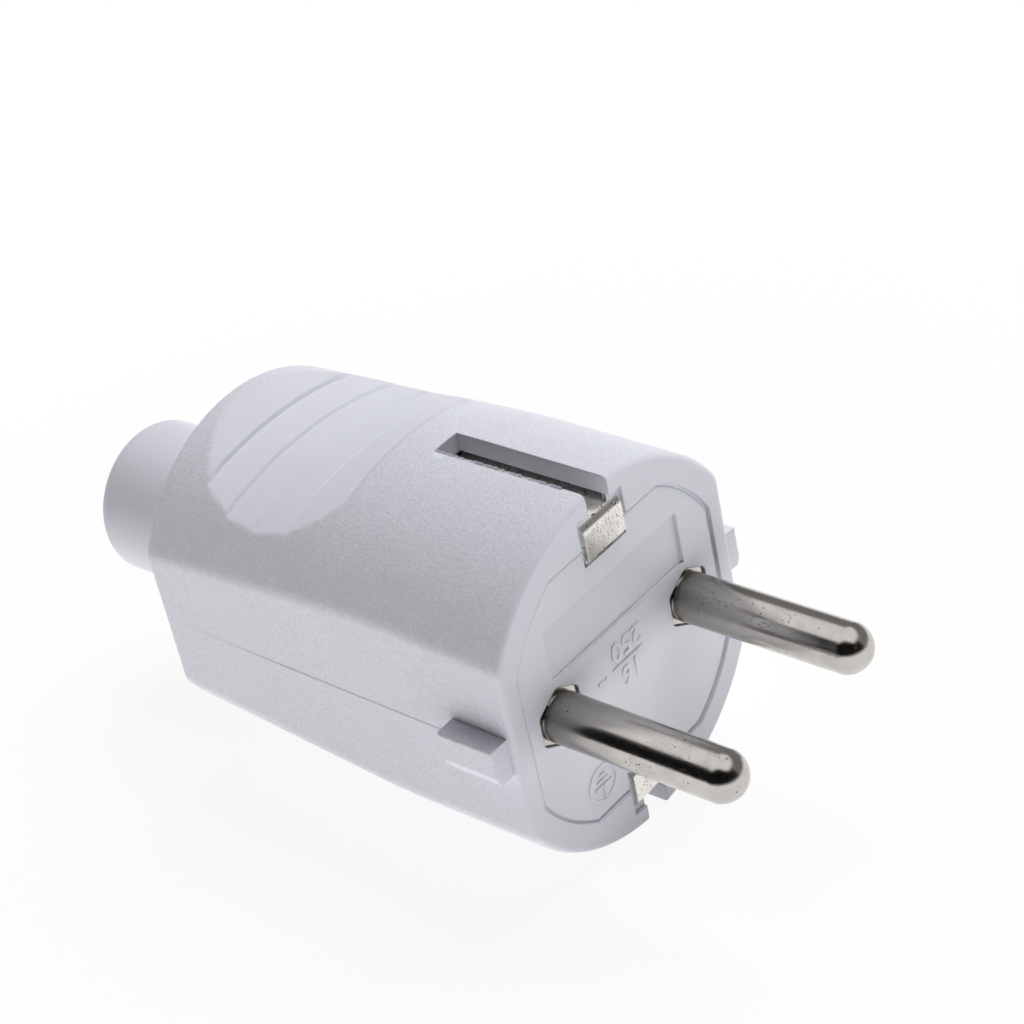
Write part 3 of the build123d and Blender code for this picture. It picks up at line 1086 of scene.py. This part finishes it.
@dataclass
class CordGrip:
    """Gland sleeve behind the hood and the clamp saddle inside it."""

    gland_finish: MouldedPlastic
    saddle_finish: MouldedPlastic

    def build(self) -> None:
        """Dress the gland and the saddle."""
        dress("gland_sleeve", self.gland_finish.material())
        dress("cord_clamp_saddle", self.saddle_finish.material())


@dataclass(frozen=True)
class SoftLamp:
    """Square studio lamp that shines at the plug."""

    name: str
    azimuth_deg: float
    elevation_deg: float
    power: float
    size: float = 0.5
    distance: float = 0.7

    def build(self) -> None:
        """Hang the lamp and turn it to the plug."""
        lamp = bpy.data.lights.new(self.name, "AREA")
        lamp.energy = self.power
        lamp.size = self.size
        holder = bpy.data.objects.new(self.name, lamp)
        bpy.context.scene.collection.objects.link(holder)
        towards = direction(self.azimuth_deg, self.elevation_deg)
        holder.location = towards * self.distance
        holder.rotation_mode = "QUATERNION"
        holder.rotation_quaternion = (-towards).to_track_quat("-Z", "Y")
        holder.visible_glossy = False
        log.info("hung %s", self.name)


@dataclass(frozen=True)
class SurroundWall:
    """Curved wall round the floor that metal reflects as a darker band."""

    finish: SurroundGrey
    from_deg: float
    to_deg: float
    top_deg: float
    crown_deg: float = 0.0
    radius: float = 0.9
    steps: int = 48

    def build(self, floor_height: float) -> None:
        """Set up the wall.

        Args:
            floor_height: Height of the floor.
        """
        shape = bmesh.new()
        rows = []
        for step in range(self.steps + 1):
            share = step / self.steps
            out = direction(self.from_deg + (self.to_deg - self.from_deg) * share, 0) * self.radius
            rise = self.top_deg + self.crown_deg * math.sin(math.pi * share)
            top = self.radius * math.tan(math.radians(rise))
            rows.append([shape.verts.new((out.x, out.y, height)) for height in (floor_height, top)])
        skin(shape, rows)
        mesh = finished_mesh(shape, self.finish.name)
        mesh.materials.append(self.finish.material())
        wall = bpy.data.objects.new(self.finish.name, mesh)
        bpy.context.scene.collection.objects.link(wall)
        wall.visible_camera = False
        wall.visible_diffuse = False
        wall.visible_transmission = False
        wall.visible_shadow = False
        log.info("set up %s", self.finish.name)


@dataclass
class Studio:
    """White floor, pale surroundings and soft lamps."""

    floor_finish: StudioWhite
    lamps: tuple[SoftLamp, ...]
    walls: tuple[SurroundWall, ...]
    floor_half: float = 4.0
    floor_cells: int = 2
    dim_light: float = 0.02

    def build(self) -> None:
        """Lay the floor, light the surroundings, hang the lamps and set up the walls."""
        self.lay_floor()
        self.light_surroundings()
        for lamp in self.lamps:
            lamp.build()
        for wall in self.walls:
            wall.build(cad_box[0].z)

    def lay_floor(self) -> None:
        """Lay a flat floor under the lowest point of the plug."""
        shape = bmesh.new()
        bmesh.ops.create_grid(shape, x_segments=self.floor_cells, y_segments=self.floor_cells,
                              size=self.floor_half)
        mesh = finished_mesh(shape, "floor")
        mesh.materials.append(self.floor_finish.material())
        floor = bpy.data.objects.new("floor", mesh)
        middle = (cad_box[0] + cad_box[1]) / 2
        floor.location = (middle.x, middle.y, cad_box[0].z)
        bpy.context.scene.collection.objects.link(floor)
        log.info("laid the floor")

    def light_surroundings(self) -> None:
        """Show white round the plug, and light it dimly from all sides."""
        world = bpy.data.worlds.new("studio")
        bpy.context.scene.world = world
        world.use_nodes = True
        world.cycles.sampling_method = "NONE"
        graph = NodeGraph(world.node_tree, "World Output")
        dim = graph.tree.nodes["Background"]
        dim.inputs["Color"].default_value = WHITE
        dim.inputs["Strength"].default_value = self.dim_light
        white = graph.add("ShaderNodeBackground", {"Color": WHITE})
        graph.show(graph.mixed(graph.direct_rays(), dim, white))


@dataclass(frozen=True)
class PhotoCamera:
    """Camera at the photograph's viewing angle."""

    azimuth_deg: float = -43.816
    elevation_deg: float = 33.716
    roll_deg: float = -12.519
    lens_mm: float = 96.62
    sensor_mm: float = 36.0
    clip_start: float = 10 * MM
    place: tuple[float, float, float] = (-140.461 * MM, -135.738 * MM, 147.949 * MM)

    def build(self) -> None:
        """Set up the camera and make it the scene's own."""
        data = bpy.data.cameras.new("photo_camera")
        data.lens = self.lens_mm
        data.sensor_width = self.sensor_mm
        data.clip_start = self.clip_start
        camera = bpy.data.objects.new("photo_camera", data)
        camera.location = self.place
        camera.rotation_mode = "QUATERNION"
        back = direction(self.azimuth_deg, self.elevation_deg)
        level = (-back).to_track_quat("-Z", "Y")
        roll = Matrix.Rotation(math.radians(self.roll_deg), 3, "Z").to_quaternion()
        camera.rotation_quaternion = level @ roll
        bpy.context.scene.collection.objects.link(camera)
        bpy.context.scene.camera = camera
        log.info("set up the camera")


# The hood's edges are painted a little darker than its body, a painted shade, and its grain's valleys
# darker too, also painted shade
HOOD_PLASTIC = GrainedHood(
    "hood_plastic", colour=srgb(232, 233, 242), cloud_colour=srgb(229, 230, 239),
    grain_size=0.28 * MM, grain_depth=0.024 * MM, roughness_low=0.44, roughness_high=0.56,
    edge_radius=0.2 * MM, valley_shade_share=0.4, painted_edge_colour=srgb(226, 227, 236))
INSERT_PLASTIC = MouldedPlastic(
    "insert_plastic", colour=srgb(228, 230, 237), cloud_colour=srgb(225, 227, 234),
    grain_size=0.7 * MM, grain_depth=0.006 * MM, roughness_low=0.34, roughness_high=0.42)
SADDLE_PLASTIC = MouldedPlastic(
    "saddle_plastic", colour=srgb(218, 219, 226), cloud_colour=srgb(212, 213, 220),
    grain_size=0.3 * MM, grain_depth=0.012 * MM, roughness_low=0.4, roughness_high=0.5)
GLAND_PLASTIC = MouldedPlastic(
    "gland_plastic", colour=srgb(222, 223, 231), cloud_colour=srgb(219, 220, 228),
    grain_size=0.5 * MM, grain_depth=0.008 * MM, roughness_low=0.38, roughness_high=0.46)
PIN_NICKEL = TurnedPlating(
    "pin_nickel", colour=srgb(204, 199, 194), dull_colour=srgb(192, 187, 182),
    roughness_low=0.14, roughness_high=0.2, pit_share=1.0, pit_radius=0.11 * MM, pit_free=0.32)
STRAP_NICKEL = PlatedMetal(
    "strap_nickel", colour=srgb(238, 235, 230), dull_colour=srgb(226, 222, 216),
    roughness_low=0.18, roughness_high=0.3,
    pit_share=2.0, pit_spacing=0.28 * MM, pit_radius=0.14 * MM, pit_free=0.1)
SCREW_ZINC = PlatedMetal(
    "screw_zinc", colour=srgb(196, 198, 202), dull_colour=srgb(170, 172, 176),
    roughness_low=0.3, roughness_high=0.45)
PINS = ("pin_left", "pin_right")
STRAP = ("earth_strap",)
FASTENERS = ("pin_terminal_plates", "pin_terminal_screws", "earth_clamp_plate", "earth_terminal_screw",
             "cord_clamp_screws", "hood_screw")
LAMPS = (
    SoftLamp("overhead_lamp", azimuth_deg=90, elevation_deg=63, power=4.8),
    SoftLamp("left_lamp", azimuth_deg=-90, elevation_deg=75, power=0.4))
WALLS = (
    SurroundWall(SurroundGrey("wall_dark", shade=0.03), from_deg=-170, to_deg=20, top_deg=44),
    SurroundWall(SurroundGrey("wall_camera", shade=0.008), from_deg=-145, to_deg=22, top_deg=20,
                 crown_deg=44, radius=0.8),
    SurroundWall(SurroundGrey("wall_grey", shade=0.22), from_deg=20, to_deg=190, top_deg=44))


def main() -> None:
    """Dress the plug, and set up the studio and the camera."""
    logging.basicConfig(level=logging.INFO, format="%(name)s: %(message)s")
    bpy.context.scene.view_settings.view_transform = "Standard"
    Hood(HOOD_PLASTIC).build()
    ContactInsert(INSERT_PLASTIC).build()
    MetalParts(PIN_NICKEL, PINS).build()
    MetalParts(STRAP_NICKEL, STRAP).build()
    MetalParts(SCREW_ZINC, FASTENERS).build()
    CordGrip(GLAND_PLASTIC, SADDLE_PLASTIC).build()
    Studio(StudioWhite(), LAMPS, WALLS).build()
    PhotoCamera().build()


if __name__ == "__main__":
    main()
